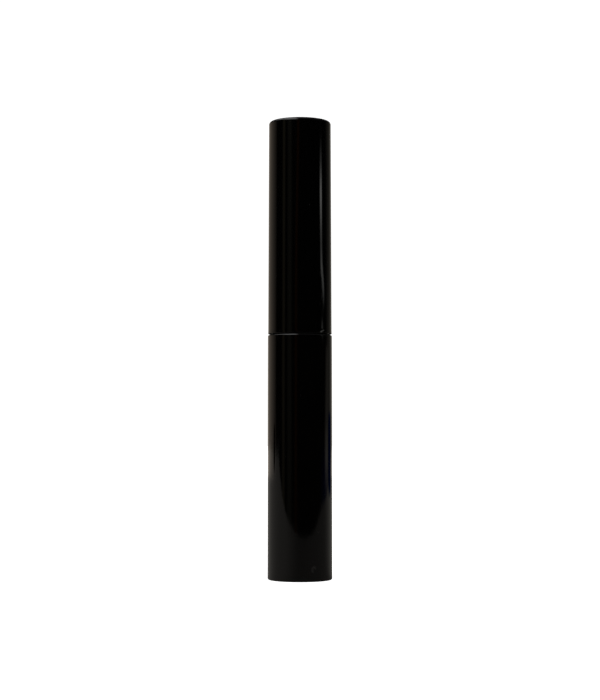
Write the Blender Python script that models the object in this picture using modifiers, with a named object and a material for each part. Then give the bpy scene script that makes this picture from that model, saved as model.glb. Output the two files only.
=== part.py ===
"""Mascara tube: a blow-moulded bottle with its wiper, and a screw cap that carries the brush.

Units are metres and +Z is up. The origin is the centre of the base, and every moving piece
turns about and slides along the Z axis. Blender 4.5.
"""

import math

import bmesh
import bpy
from mathutils import Matrix, Vector

COLLECTION = "mascara_tube"
CUTTERS = "mascara_tube_cutters"

# Outer form
BASE_RADIUS = 0.008375
BASE_FILLET = 0.0005
SHOULDER_RADIUS = 0.00832
SHOULDER_Z = 0.0632
SHOULDER_FILLET = 0.00042
SEAM_GAP = 0.00025
CAP_RIM_RADIUS = 0.00828
CAP_RIM_FILLET = 0.0001
CAP_WALL_RADIUS = 0.00824
CAP_FLARE_HEIGHT = 0.0012
CAP_TOP_RADIUS = 0.00806
CAP_TOP_FILLET = 0.0008
TOP_Z = 0.1190

# Bottle
BASE_RECESS_RADIUS = 0.0064
BASE_RECESS_DEPTH = 0.0004
CAVITY_RADIUS = 0.00675
CAVITY_FLOOR_Z = 0.0022
CAVITY_FLOOR_FILLET = 0.0020
CAVITY_SHOULDER_Z = 0.0588
COLLAR_RADIUS = 0.0070
COLLAR_TOP_Z = 0.0652
NECK_RADIUS = 0.0052
LIP_Z = 0.0740
LIP_FILLET = 0.0003
BORE_RADIUS = 0.0041
SNAP_GROOVE_Z = 0.0665
SNAP_GROOVE_DEPTH = 0.0003

# Wiper
WIPER_FLANGE_THICKNESS = 0.0008
WIPER_BARREL_FOOT_Z = 0.0656
WIPER_INSIDE_RADIUS = 0.0033
WIPER_CONE_TOP_Z = 0.0663
ORIFICE_RADIUS = 0.0018
ORIFICE_Z = 0.0619
ORIFICE_EDGE = 0.0006
SNAP_BEAD_HALF_WIDTH = 0.0004

# Filling and label
FORMULA_TOP_Z = 0.0490
FORMULA_CLIMB = 0.0006
CHANNEL_CLEARANCE = 0.00025
CHANNEL_FLOOR_CLEARANCE = 0.0005
CHANNEL_FOOT_EDGE = 0.0010
CHANNEL_LIP_EDGE = 0.0004
LABEL_THICKNESS = 0.00012
LABEL_MARGIN = 0.0004

# Closure thread, right-handed
THREAD_PITCH = 0.0020
THREAD_TURNS = 1.25
THREAD_START_Z = 0.0682
RIDGE_HEIGHT = 0.00055
RIDGE_ROOT_WIDTH = 0.0012
RIDGE_TIP_WIDTH = 0.0006
RIDGE_SUNK = 0.0002
RIDGE_STEPS_PER_TURN = 24
RUN_OUT_TURNS = 0.08
RIDGE_PHASE_TURNS = 0.0104
CAP_THREAD_TURNS = 1.0
CAP_THREAD_LEAD = 0.125

# Inner cap
INNER_CAP_RADIUS = 0.0069
INNER_CAP_RIM_Z = 0.0656
INNER_CAP_TOP_Z = 0.1106
INNER_CAP_WALL = 0.0010
THREAD_BORE_RADIUS = 0.00595
CEILING_Z = 0.0758
CEILING_THICKNESS = 0.0018
LINER_BEAD_RADIUS = 0.00555
LINER_BEAD_Z = 0.07195
LINER_BEAD_CREST = 0.0001
LINER_BEAD_FOOT = 0.00035
SOCKET_RADIUS = 0.00245
SOCKET_WALL = 0.00095
SOCKET_TOP_Z = 0.0880
SOCKET_GROOVE_Z = 0.0824
SOCKET_GROOVE_DEPTH = 0.0002
RIB_COUNT = 8
RIB_RADIUS = 0.00712
RIB_WIDTH = 0.0010
RIB_FOOT = 0.0014
RIB_HEAD = 0.0006
RIB_SUNK = 0.0003
SMALL_EDGE = 0.0002

# Washer and weight inside the cap
LINER_RADIUS = 0.0057
LINER_HOLE_RADIUS = 0.0024
LINER_EDGE = 0.0001
WEIGHT_RADIUS = 0.0067
WEIGHT_EDGE = 0.0004
WEIGHT_FOOT_GAP = 0.0003
WEIGHT_HEAD_GAP = 0.0005

# Overcap
OVERCAP_BORE_RIM_RADIUS = 0.0073
OVERCAP_BORE_TOP_RADIUS = 0.00715
OVERCAP_CEILING_Z = 0.1174
OVERCAP_RIM_LEAD = 0.0001
OVERCAP_RIM_LEAD_HEIGHT = 0.0002
OVERCAP_CEILING_CHAMFER = 0.0003

# Wand
STEM_RADIUS = 0.00165
STEM_HEAD_RADIUS = 0.00235
STEM_HEAD_TOP_Z = 0.0875
STEM_FLANGE_RADIUS = 0.0034
STEM_FLANGE_THICKNESS = 0.0006
STEM_TIP_Z = 0.0300
STEM_TIP_TAPER = 0.0020
STEM_TIP_EDGE = 0.0004
STEM_EDGE = 0.0003
STEM_TIP_BORE_RADIUS = 0.00062
STEM_TIP_BORE_DEPTH = 0.0060
WIRE_STRAND_RADIUS = 0.00025
WIRE_TWIST_PITCH = 0.0030
WIRE_TIP_Z = 0.0049
WIRE_STEPS_PER_TWIST = 8
WIRE_OUTLINE_CORNERS = 8
WIRE_OUTLINE_MEAN = 1.35
WIRE_OUTLINE_WAIST = 0.65
WIRE_END_GAP = 0.0003
BRISTLE_RADIUS = 0.0035
BRISTLE_TIP_RADIUS = 0.0017
BRISTLE_ROOT_RADIUS = 0.0026
BRISTLE_SHOULDER_RADIUS = 0.0026
BRISTLE_SHOULDER_HEIGHT = 0.0025
BRISTLE_TAPER_HEIGHT = 0.0080
BRISTLE_ROOT_TAPER = 0.0035
BRISTLE_END_GAP = 0.0004

# Fits between pieces that touch or nearly touch
SEAT_GAP = 0.00005
SIDE_GAP = 0.0001

TURN_SEGMENTS = 48
SLIM_SEGMENTS = 24
MERGE_DISTANCE = 0.000001
SHARP_ANGLE = math.radians(35)


def clear_scene():
    for old in list(bpy.data.objects):
        bpy.data.objects.remove(old, do_unlink=True)


def collection(name):
    made = bpy.data.collections.new(name)
    bpy.context.scene.collection.children.link(made)
    return made


def material(name, colour, roughness, metallic=0.0):
    made = bpy.data.materials.new(name)
    made.use_nodes = True
    shader = made.node_tree.nodes["Principled BSDF"]
    shader.inputs["Base Color"].default_value = (*colour, 1.0)
    shader.inputs["Roughness"].default_value = roughness
    shader.inputs["Metallic"].default_value = metallic
    return made


def carrier(name, parent, group):
    """An empty on the Z axis that holds the pieces of one rigid body."""
    empty = bpy.data.objects.new(name, None)
    empty.empty_display_size = BASE_RADIUS
    empty.parent = parent
    group.objects.link(empty)
    return empty


def add_object(name, mesh, group, parent=None, finish=None):
    obj = bpy.data.objects.new(name, mesh)
    if finish:
        mesh.materials.append(finish)
    mesh.shade_smooth()
    mesh.set_sharp_from_angle(angle=SHARP_ANGLE)
    obj.parent = parent
    group.objects.link(obj)
    return obj


def arc(x, z, radius, start_deg, end_deg, steps):
    """Points of an arc about (x, z) in the profile plane, both ends included."""
    points = []
    for step in range(steps + 1):
        angle = math.radians(start_deg + (end_deg - start_deg) * step / steps)
        points.append((x + radius * math.cos(angle), z + radius * math.sin(angle)))
    return points


def turned(name, profile, closed, segments, group, parent, finish):
    """A profile of (radius, height) points turned about Z; closed joins its two ends."""
    mesh = bpy.data.meshes.new(name)
    edges = [(i, i + 1) for i in range(len(profile) - 1)]
    if closed:
        edges.append((len(profile) - 1, 0))
    mesh.from_pydata([(radius, 0.0, height) for radius, height in profile], edges, [])
    obj = add_object(name, mesh, group, parent, finish)
    screw = obj.modifiers.new("turn", "SCREW")
    screw.axis = "Z"
    screw.steps = segments
    screw.render_steps = segments
    screw.use_merge_vertices = True
    screw.merge_threshold = MERGE_DISTANCE
    screw.use_smooth_shade = True
    return obj


def swept(name, sections, group, parent=None, finish=None):
    """A solid through a row of sections, made by extruding the first one again and again."""
    bm = bmesh.new()
    start = bm.faces.new([bm.verts.new(point) for point in sections[0]])
    end = start
    for section in sections[1:]:
        grown = bmesh.ops.extrude_face_region(bm, geom=[end])["geom"]
        if end is not start:
            bm.faces.remove(end)
        end = next(item for item in grown if isinstance(item, bmesh.types.BMFace))
        for vert, point in zip(end.verts, section):
            vert.co = point
    bmesh.ops.recalc_face_normals(bm, faces=bm.faces)
    mesh = bpy.data.meshes.new(name)
    bm.to_mesh(mesh)
    bm.free()
    return add_object(name, mesh, group, parent, finish)


def join(obj, addition):
    """Fuses a hidden shape into an object."""
    addition.hide_render = True
    addition.display_type = "WIRE"
    union = obj.modifiers.new("add_" + addition.name, "BOOLEAN")
    union.operation = "UNION"
    union.solver = "EXACT"
    union.object = addition


def thread_ridge(name, wall_radius, height, start_z, start_turn, turns, group):
    """A helical ridge on a wall; a negative height stands in from a bore instead of out."""
    steps = round(RIDGE_STEPS_PER_TURN * turns)
    root = wall_radius - math.copysign(RIDGE_SUNK, height)
    sections = []
    for step in range(steps + 1):
        turn = turns * step / steps
        from_end = min(turn, turns - turn)
        fade = max(0.1, min(1.0, from_end / RUN_OUT_TURNS))
        tip = wall_radius + height * fade
        angle = 2 * math.pi * (RIDGE_PHASE_TURNS + start_turn + turn)
        middle = start_z + THREAD_PITCH * turn
        corners = [
            (root, middle - RIDGE_ROOT_WIDTH / 2),
            (tip, middle - RIDGE_TIP_WIDTH / 2),
            (tip, middle + RIDGE_TIP_WIDTH / 2),
            (root, middle + RIDGE_ROOT_WIDTH / 2),
        ]
        around = Matrix.Rotation(angle, 3, "Z")
        sections.append([around @ Vector((radius, 0.0, z)) for radius, z in corners])
    return swept(name, sections, group)


def build_bottle(group, cutters, parent, finish):
    """One moulding: recessed base, body, shoulder, collar, and a threaded neck with its lip."""
    recess_edge = BASE_RECESS_RADIUS - 0.5 * BASE_RECESS_DEPTH
    groove = SNAP_GROOVE_DEPTH
    shoulder = SHOULDER_RADIUS - SHOULDER_FILLET
    floor_turn = CAVITY_RADIUS - CAVITY_FLOOR_FILLET
    profile = [(0.0, CAVITY_FLOOR_Z)]
    profile += arc(
        floor_turn, CAVITY_FLOOR_Z + CAVITY_FLOOR_FILLET, CAVITY_FLOOR_FILLET, -90, 0, 4
    )
    profile += arc(BORE_RADIUS, CAVITY_SHOULDER_Z, CAVITY_RADIUS - BORE_RADIUS, 0, 90, 5)
    profile += [
        (BORE_RADIUS, SNAP_GROOVE_Z - 1.5 * groove),
        (BORE_RADIUS + groove, SNAP_GROOVE_Z - 0.5 * groove),
        (BORE_RADIUS + groove, SNAP_GROOVE_Z + 0.5 * groove),
        (BORE_RADIUS, SNAP_GROOVE_Z + 1.5 * groove),
        (BORE_RADIUS, LIP_Z),
    ]
    profile += arc(NECK_RADIUS - LIP_FILLET, LIP_Z - LIP_FILLET, LIP_FILLET, 90, 0, 2)
    profile += [(NECK_RADIUS, COLLAR_TOP_Z)]
    profile += arc(
        COLLAR_RADIUS - LIP_FILLET, COLLAR_TOP_Z - LIP_FILLET, LIP_FILLET, 90, 0, 2
    )
    profile += [(COLLAR_RADIUS, SHOULDER_Z)]
    profile += arc(shoulder, SHOULDER_Z - SHOULDER_FILLET, SHOULDER_FILLET, 90, 0, 3)
    profile += arc(BASE_RADIUS - BASE_FILLET, BASE_FILLET, BASE_FILLET, 0, -90, 4)
    profile += [
        (BASE_RECESS_RADIUS, 0.0),
        (recess_edge, BASE_RECESS_DEPTH),
        (0.0, BASE_RECESS_DEPTH),
    ]
    bottle = turned("bottle", profile, False, TURN_SEGMENTS, group, parent, finish)
    ridge = thread_ridge(
        "neck_thread", NECK_RADIUS, RIDGE_HEIGHT, THREAD_START_Z, 0.0, THREAD_TURNS, cutters
    )
    join(bottle, ridge)


def build_wiper(group, parent, finish):
    """A flange on the neck's lip, a barrel with a snap bead, and a cone down to the orifice."""
    flange_radius = NECK_RADIUS - LIP_FILLET + SEAT_GAP
    flange_top = LIP_Z + WIPER_FLANGE_THICKNESS
    barrel = BORE_RADIUS - SIDE_GAP
    bead = barrel + SNAP_GROOVE_DEPTH - 2 * SEAT_GAP
    inside = WIPER_INSIDE_RADIUS
    chamfer = 0.5 * ORIFICE_EDGE
    profile = [
        (flange_radius, flange_top),
        (flange_radius, LIP_Z + SEAT_GAP),
        (barrel, LIP_Z + SEAT_GAP),
        (barrel, SNAP_GROOVE_Z + SNAP_BEAD_HALF_WIDTH),
        (bead, SNAP_GROOVE_Z + SEAT_GAP),
        (bead, SNAP_GROOVE_Z - SEAT_GAP),
        (barrel, SNAP_GROOVE_Z - SNAP_BEAD_HALF_WIDTH),
        (barrel, WIPER_BARREL_FOOT_Z),
        (ORIFICE_RADIUS + ORIFICE_EDGE, ORIFICE_Z + chamfer),
        (ORIFICE_RADIUS + chamfer, ORIFICE_Z),
        (ORIFICE_RADIUS, ORIFICE_Z),
        (ORIFICE_RADIUS, ORIFICE_Z + ORIFICE_EDGE),
        (inside, WIPER_CONE_TOP_Z),
        (inside, flange_top - chamfer),
        (inside + chamfer, flange_top),
    ]
    turned("wiper", profile, True, TURN_SEGMENTS, group, parent, finish)


def build_formula(group, parent, finish):
    """The filling, with the channel in which the brush stands."""
    channel = BRISTLE_RADIUS + CHANNEL_CLEARANCE
    channel_floor = WIRE_TIP_Z - CHANNEL_FLOOR_CLEARANCE
    radius = CAVITY_RADIUS - SIDE_GAP
    floor = CAVITY_FLOOR_Z + SIDE_GAP
    fillet = CAVITY_FLOOR_FILLET
    profile = [
        (0.0, channel_floor),
        (channel - CHANNEL_FOOT_EDGE, channel_floor),
        (channel, channel_floor + CHANNEL_FOOT_EDGE),
        (channel, FORMULA_TOP_Z - CHANNEL_LIP_EDGE),
        (channel + CHANNEL_LIP_EDGE, FORMULA_TOP_Z),
        (radius - FORMULA_CLIMB, FORMULA_TOP_Z),
        (radius, FORMULA_TOP_Z + FORMULA_CLIMB),
    ]
    profile += arc(radius - fillet, floor + fillet, fillet, 0, -90, 4)
    profile += [(0.0, floor)]
    turned("mascara_bulk", profile, False, TURN_SEGMENTS, group, parent, finish)


def build_base_label(group, parent, finish):
    middle = BASE_RECESS_DEPTH - SEAT_GAP - LABEL_THICKNESS / 2
    radius = BASE_RECESS_RADIUS - LABEL_MARGIN
    bm = bmesh.new()
    bmesh.ops.create_cone(
        bm,
        cap_ends=True,
        segments=TURN_SEGMENTS,
        radius1=radius,
        radius2=radius,
        depth=LABEL_THICKNESS,
    )
    mesh = bpy.data.meshes.new("base_label")
    bm.to_mesh(mesh)
    bm.free()
    label = add_object("base_label", mesh, group, parent, finish)
    label.location.z = middle


def build_overcap(group, parent, finish):
    """A closed shell, slimmer towards its top, with a slight flare at the rim."""
    rim = SHOULDER_Z + SEAM_GAP
    profile = [(0.0, TOP_Z)]
    profile += arc(
        CAP_TOP_RADIUS - CAP_TOP_FILLET, TOP_Z - CAP_TOP_FILLET, CAP_TOP_FILLET, 90, 0, 4
    )
    profile += [(CAP_WALL_RADIUS, rim + CAP_FLARE_HEIGHT)]
    profile += arc(
        CAP_RIM_RADIUS - CAP_RIM_FILLET, rim + CAP_RIM_FILLET, CAP_RIM_FILLET, 0, -90, 3
    )
    profile += [
        (OVERCAP_BORE_RIM_RADIUS + OVERCAP_RIM_LEAD, rim),
        (OVERCAP_BORE_RIM_RADIUS, rim + OVERCAP_RIM_LEAD_HEIGHT),
        (OVERCAP_BORE_TOP_RADIUS, OVERCAP_CEILING_Z - OVERCAP_CEILING_CHAMFER),
        (OVERCAP_BORE_TOP_RADIUS - OVERCAP_CEILING_CHAMFER, OVERCAP_CEILING_Z),
        (0.0, OVERCAP_CEILING_Z),
    ]
    turned("overcap", profile, False, TURN_SEGMENTS, group, parent, finish)


def ribs(name, group):
    """Upright ribs that stand out from the inner cap and key it to the overcap."""
    low = INNER_CAP_RIM_Z + RIB_FOOT
    high = INNER_CAP_TOP_Z - RIB_HEAD
    root = INNER_CAP_RADIUS - RIB_SUNK
    size = Vector((RIB_RADIUS - root, RIB_WIDTH, high - low))
    place = Matrix.Translation(((RIB_RADIUS + root) / 2, 0.0, (high + low) / 2))
    bm = bmesh.new()
    for rib in range(RIB_COUNT):
        around = Matrix.Rotation(2 * math.pi * rib / RIB_COUNT, 4, "Z")
        stretch = Matrix.Diagonal((*size, 1.0))
        bmesh.ops.create_cube(bm, size=1.0, matrix=around @ place @ stretch)
    mesh = bpy.data.meshes.new(name)
    bm.to_mesh(mesh)
    bm.free()
    return add_object(name, mesh, group)


def build_inner_cap(group, cutters, parent, finish):
    """Threaded skirt, ceiling with the stem's socket, and a long tube that fills the overcap."""
    edge = SMALL_EDGE
    inside = INNER_CAP_RADIUS - INNER_CAP_WALL
    floor = CEILING_Z + CEILING_THICKNESS
    recess_z = CEILING_Z + STEM_FLANGE_THICKNESS + 2 * SEAT_GAP
    socket_outside = SOCKET_RADIUS + SOCKET_WALL
    groove = SOCKET_GROOVE_DEPTH
    profile = [
        (INNER_CAP_RADIUS - edge, INNER_CAP_TOP_Z),
        (INNER_CAP_RADIUS, INNER_CAP_TOP_Z - edge),
        (INNER_CAP_RADIUS, INNER_CAP_RIM_Z + edge),
        (INNER_CAP_RADIUS - edge, INNER_CAP_RIM_Z),
        (THREAD_BORE_RADIUS + 2 * edge, INNER_CAP_RIM_Z),
        (THREAD_BORE_RADIUS, INNER_CAP_RIM_Z + 3 * edge),
        (THREAD_BORE_RADIUS, LINER_BEAD_Z - LINER_BEAD_FOOT),
        (LINER_BEAD_RADIUS, LINER_BEAD_Z - LINER_BEAD_CREST),
        (LINER_BEAD_RADIUS, LINER_BEAD_Z + LINER_BEAD_CREST),
        (THREAD_BORE_RADIUS, LINER_BEAD_Z + LINER_BEAD_FOOT),
        (THREAD_BORE_RADIUS, CEILING_Z),
        (STEM_FLANGE_RADIUS + SIDE_GAP, CEILING_Z),
        (STEM_FLANGE_RADIUS + SIDE_GAP, recess_z),
        (SOCKET_RADIUS, recess_z),
        (SOCKET_RADIUS, SOCKET_GROOVE_Z - 2 * groove),
        (SOCKET_RADIUS + groove, SOCKET_GROOVE_Z - groove),
        (SOCKET_RADIUS + groove, SOCKET_GROOVE_Z + groove),
        (SOCKET_RADIUS, SOCKET_GROOVE_Z + 2 * groove),
        (SOCKET_RADIUS, SOCKET_TOP_Z),
        (socket_outside, SOCKET_TOP_Z),
        (socket_outside, floor),
        (inside, floor),
        (inside, INNER_CAP_TOP_Z),
    ]
    cap = turned("inner_cap", profile, True, TURN_SEGMENTS, group, parent, finish)
    # the cap's ridge lies half a pitch below the neck's, in its groove, and starts later
    ridge_start = THREAD_START_Z - THREAD_PITCH / 2 + THREAD_PITCH * CAP_THREAD_LEAD
    ridge = thread_ridge(
        "cap_thread",
        THREAD_BORE_RADIUS,
        -RIDGE_HEIGHT,
        ridge_start,
        CAP_THREAD_LEAD,
        CAP_THREAD_TURNS,
        cutters,
    )
    join(cap, ridge)
    join(cap, ribs("inner_cap_ribs", cutters))


def build_cap_liner(group, parent, finish):
    """A sealing washer on the wiper's flange, held captive above the inner cap's bead."""
    low = LIP_Z + WIPER_FLANGE_THICKNESS + SIDE_GAP
    high = CEILING_Z - SIDE_GAP
    edge = LINER_EDGE
    profile = [
        (LINER_RADIUS - edge, high),
        (LINER_RADIUS, high - edge),
        (LINER_RADIUS, low + edge),
        (LINER_RADIUS - edge, low),
        (LINER_HOLE_RADIUS + edge, low),
        (LINER_HOLE_RADIUS, low + edge),
        (LINER_HOLE_RADIUS, high - edge),
        (LINER_HOLE_RADIUS + edge, high),
    ]
    turned("cap_liner", profile, True, TURN_SEGMENTS, group, parent, finish)


def build_cap_weight(group, parent, finish):
    """A chamfered slug that fills the overcap's closed end."""
    edge = WEIGHT_EDGE
    low = INNER_CAP_TOP_Z + WEIGHT_FOOT_GAP
    high = OVERCAP_CEILING_Z - WEIGHT_HEAD_GAP
    profile = [
        (0.0, high),
        (WEIGHT_RADIUS - edge, high),
        (WEIGHT_RADIUS, high - edge),
        (WEIGHT_RADIUS, low + edge),
        (WEIGHT_RADIUS - edge, low),
        (0.0, low),
    ]
    turned("cap_weight", profile, False, TURN_SEGMENTS, group, parent, finish)


def build_stem(group, parent, finish):
    """A rod with a beaded, flanged head in the socket and a bored, tapered tip."""
    flange_low = CEILING_Z + SEAT_GAP
    flange_high = flange_low + STEM_FLANGE_THICKNESS
    bead = STEM_HEAD_RADIUS + SOCKET_GROOVE_DEPTH
    edge = STEM_EDGE
    profile = [
        (0.0, STEM_HEAD_TOP_Z),
        (STEM_HEAD_RADIUS - edge, STEM_HEAD_TOP_Z),
        (STEM_HEAD_RADIUS, STEM_HEAD_TOP_Z - edge),
        (STEM_HEAD_RADIUS, SOCKET_GROOVE_Z + edge),
        (bead, SOCKET_GROOVE_Z + 0.5 * SIDE_GAP),
        (bead, SOCKET_GROOVE_Z - 0.5 * SIDE_GAP),
        (STEM_HEAD_RADIUS, SOCKET_GROOVE_Z - edge),
        (STEM_HEAD_RADIUS, flange_high),
        (STEM_FLANGE_RADIUS, flange_high),
        (STEM_FLANGE_RADIUS, flange_low),
        (STEM_RADIUS + edge, flange_low),
        (STEM_RADIUS, flange_low - edge),
        (STEM_RADIUS, STEM_TIP_Z + STEM_TIP_TAPER),
        (STEM_RADIUS - edge, STEM_TIP_Z + STEM_TIP_EDGE),
        (STEM_RADIUS - 2 * edge, STEM_TIP_Z),
        (STEM_TIP_BORE_RADIUS, STEM_TIP_Z),
        (STEM_TIP_BORE_RADIUS, STEM_TIP_Z + STEM_TIP_BORE_DEPTH),
        (0.0, STEM_TIP_Z + STEM_TIP_BORE_DEPTH),
    ]
    turned("stem", profile, False, SLIM_SEGMENTS, group, parent, finish)


def build_brush_wire(group, parent, finish):
    """Two strands twisted together, as one bar with a figure-of-eight section."""
    top = STEM_TIP_Z + STEM_TIP_BORE_DEPTH - WIRE_END_GAP
    twists = (top - WIRE_TIP_Z) / WIRE_TWIST_PITCH
    steps = round(twists * WIRE_STEPS_PER_TWIST)
    outline = []
    for corner in range(WIRE_OUTLINE_CORNERS):
        angle = 2 * math.pi * corner / WIRE_OUTLINE_CORNERS
        swell = WIRE_OUTLINE_MEAN + WIRE_OUTLINE_WAIST * math.cos(2 * angle)
        reach = WIRE_STRAND_RADIUS * swell
        outline.append(Vector((reach * math.cos(angle), reach * math.sin(angle), 0.0)))
    sections = []
    for step in range(steps + 1):
        share = step / steps
        around = Matrix.Rotation(2 * math.pi * twists * share, 3, "Z")
        lift = Vector((0.0, 0.0, WIRE_TIP_Z + (top - WIRE_TIP_Z) * share))
        sections.append([around @ point + lift for point in outline])
    swept("brush_wire", sections, group, parent, finish)


def build_bristles(group, parent, finish):
    """The space that the fibres fill: a sleeve round the wire, slimmer at both ends."""
    inner = 2 * WIRE_STRAND_RADIUS + SIDE_GAP
    low = WIRE_TIP_Z + BRISTLE_END_GAP
    high = STEM_TIP_Z - BRISTLE_END_GAP
    profile = [
        (BRISTLE_ROOT_RADIUS, high),
        (BRISTLE_RADIUS, high - BRISTLE_ROOT_TAPER),
        (BRISTLE_RADIUS, low + BRISTLE_TAPER_HEIGHT),
        (BRISTLE_SHOULDER_RADIUS, low + BRISTLE_SHOULDER_HEIGHT),
        (BRISTLE_TIP_RADIUS, low),
        (inner, low),
        (inner, high),
    ]
    turned("bristles", profile, True, SLIM_SEGMENTS, group, parent, finish)


def main():
    clear_scene()
    parts = collection(COLLECTION)
    cutters = collection(CUTTERS)

    bottle_carrier = carrier("bottle_carrier", None, parts)
    liner_carrier = carrier("liner_carrier", bottle_carrier, parts)
    weight_carrier = carrier("weight_carrier", liner_carrier, parts)
    wand_carrier = carrier("wand_carrier", weight_carrier, parts)

    bottle_black = material("bottle_black", (0.006, 0.006, 0.007), 0.07)
    build_bottle(parts, cutters, bottle_carrier, bottle_black)
    wiper_plastic = material("wiper_plastic", (0.72, 0.72, 0.69), 0.45)
    build_wiper(parts, bottle_carrier, wiper_plastic)
    formula_black = material("formula_black", (0.004, 0.004, 0.004), 0.30)
    build_formula(parts, bottle_carrier, formula_black)
    label_paper = material("label_paper", (0.75, 0.75, 0.74), 0.55)
    build_base_label(parts, bottle_carrier, label_paper)

    liner_foam = material("liner_foam", (0.85, 0.85, 0.83), 0.70)
    build_cap_liner(parts, liner_carrier, liner_foam)

    weight_steel = material("weight_steel", (0.55, 0.55, 0.54), 0.30, 1.0)
    build_cap_weight(parts, weight_carrier, weight_steel)

    cap_black = material("cap_black", (0.006, 0.006, 0.007), 0.06)
    build_overcap(parts, wand_carrier, cap_black)
    inner_cap_plastic = material("inner_cap_plastic", (0.74, 0.74, 0.71), 0.38)
    build_inner_cap(parts, cutters, wand_carrier, inner_cap_plastic)
    stem_black = material("stem_black", (0.012, 0.012, 0.012), 0.25)
    build_stem(parts, wand_carrier, stem_black)
    wire_steel = material("wire_steel", (0.60, 0.60, 0.58), 0.28, 1.0)
    build_brush_wire(parts, wand_carrier, wire_steel)
    fibre_black = material("fibre_black", (0.010, 0.010, 0.010), 0.45)
    build_bristles(parts, wand_carrier, fibre_black)


main()
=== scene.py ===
"""Looks of the mascara tube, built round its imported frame.

Units are metres and +Z is up, as in the frame. Every piece is drawn where it stands when the
tube is closed, with its object's origin on the frame's, so object coordinates are real sizes.
"""

import math
import random

import bmesh
import bpy
from mathutils import Matrix, Vector, noise


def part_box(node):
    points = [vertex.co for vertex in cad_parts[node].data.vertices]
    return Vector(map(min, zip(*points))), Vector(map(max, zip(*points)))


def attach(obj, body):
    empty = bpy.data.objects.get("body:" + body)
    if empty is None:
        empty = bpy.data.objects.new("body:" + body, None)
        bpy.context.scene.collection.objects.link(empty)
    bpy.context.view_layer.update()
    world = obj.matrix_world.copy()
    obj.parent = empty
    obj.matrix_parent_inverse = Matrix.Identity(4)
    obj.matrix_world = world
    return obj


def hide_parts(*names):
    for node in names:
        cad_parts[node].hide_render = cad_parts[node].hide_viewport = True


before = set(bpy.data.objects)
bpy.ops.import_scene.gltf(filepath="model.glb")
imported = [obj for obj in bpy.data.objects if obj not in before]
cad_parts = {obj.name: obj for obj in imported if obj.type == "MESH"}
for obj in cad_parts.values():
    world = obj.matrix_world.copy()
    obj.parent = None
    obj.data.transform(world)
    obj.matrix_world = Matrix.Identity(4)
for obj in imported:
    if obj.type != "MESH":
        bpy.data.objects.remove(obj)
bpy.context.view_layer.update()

TAU = 2 * math.pi


def bottom(node):
    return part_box(node)[0].z


def top(node):
    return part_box(node)[1].z


def reach(node):
    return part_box(node)[1].x


# Outer form
BASE_RADIUS = reach("bottle")
BASE_FILLET = 0.0005
SHOULDER_RADIUS = 0.00832
SHOULDER_Z = 0.0632
SHOULDER_FILLET = 0.00042
CAP_RIM_RADIUS = reach("overcap")
CAP_RIM_Z = bottom("overcap")
CAP_RIM_FILLET = 0.0001
CAP_WALL_RADIUS = 0.00824
CAP_FLARE_HEIGHT = 0.0012
CAP_TOP_RADIUS = 0.00806
CAP_TOP_FILLET = 0.0008
TOP_Z = top("overcap")

# Bottle
BASE_RECESS_RADIUS = 0.0064
BASE_RECESS_DEPTH = 0.0004
CAVITY_RADIUS = 0.00675
CAVITY_FLOOR_Z = 0.0022
CAVITY_FLOOR_FILLET = 0.0020
CAVITY_SHOULDER_Z = 0.0588
COLLAR_RADIUS = 0.0070
COLLAR_TOP_Z = 0.0652
NECK_RADIUS = 0.0052
LIP_Z = top("bottle")
LIP_FILLET = 0.0003
BORE_RADIUS = 0.0041
SNAP_GROOVE_Z = 0.0665
SNAP_GROOVE_DEPTH = 0.0003

# Filling
FORMULA_TOP_Z = 0.0490
FORMULA_CLIMB = 0.0006
CHANNEL_CLEARANCE = 0.00025
CHANNEL_FLOOR_CLEARANCE = 0.0005
CHANNEL_FOOT_EDGE = 0.0010
CHANNEL_LIP_EDGE = 0.0004

# Closure thread, right-handed
THREAD_PITCH = 0.0020
NECK_TURNS = 1.25
NECK_START_Z = 0.0682
CAP_TURNS = 1.0
CAP_LEAD = 0.125
RIDGE_HEIGHT = 0.00055
RIDGE_ROOT_WIDTH = 0.0012
RIDGE_TIP_WIDTH = 0.0006
RUN_OUT_TURNS = 0.08
RIDGE_PHASE_TURNS = 0.0104

# Inner cap
INNER_CAP_RADIUS = 0.0069
INNER_CAP_RIM_Z = bottom("inner_cap")
INNER_CAP_TOP_Z = top("inner_cap")
INNER_CAP_WALL = 0.0010
THREAD_BORE_RADIUS = 0.00595
CEILING_Z = 0.0758
CEILING_THICKNESS = 0.0018
LINER_BEAD_RADIUS = 0.00555
LINER_BEAD_Z = 0.07195
LINER_BEAD_CREST = 0.0001
LINER_BEAD_FOOT = 0.00035
SOCKET_RADIUS = 0.00245
SOCKET_WALL = 0.00095
SOCKET_TOP_Z = 0.0880
SOCKET_GROOVE_Z = 0.0824
SOCKET_GROOVE_DEPTH = 0.0002
RIB_COUNT = 8
RIB_RADIUS = reach("inner_cap")
RIB_WIDTH = 0.0010
RIB_FOOT = 0.0014
RIB_HEAD = 0.0006

# Overcap
OVERCAP_BORE_RIM_RADIUS = 0.0073
OVERCAP_BORE_TOP_RADIUS = 0.00715
OVERCAP_CEILING_Z = 0.1174
OVERCAP_CEILING_CHAMFER = 0.0003
OVERCAP_RIM_LEAD = 0.0001

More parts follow.
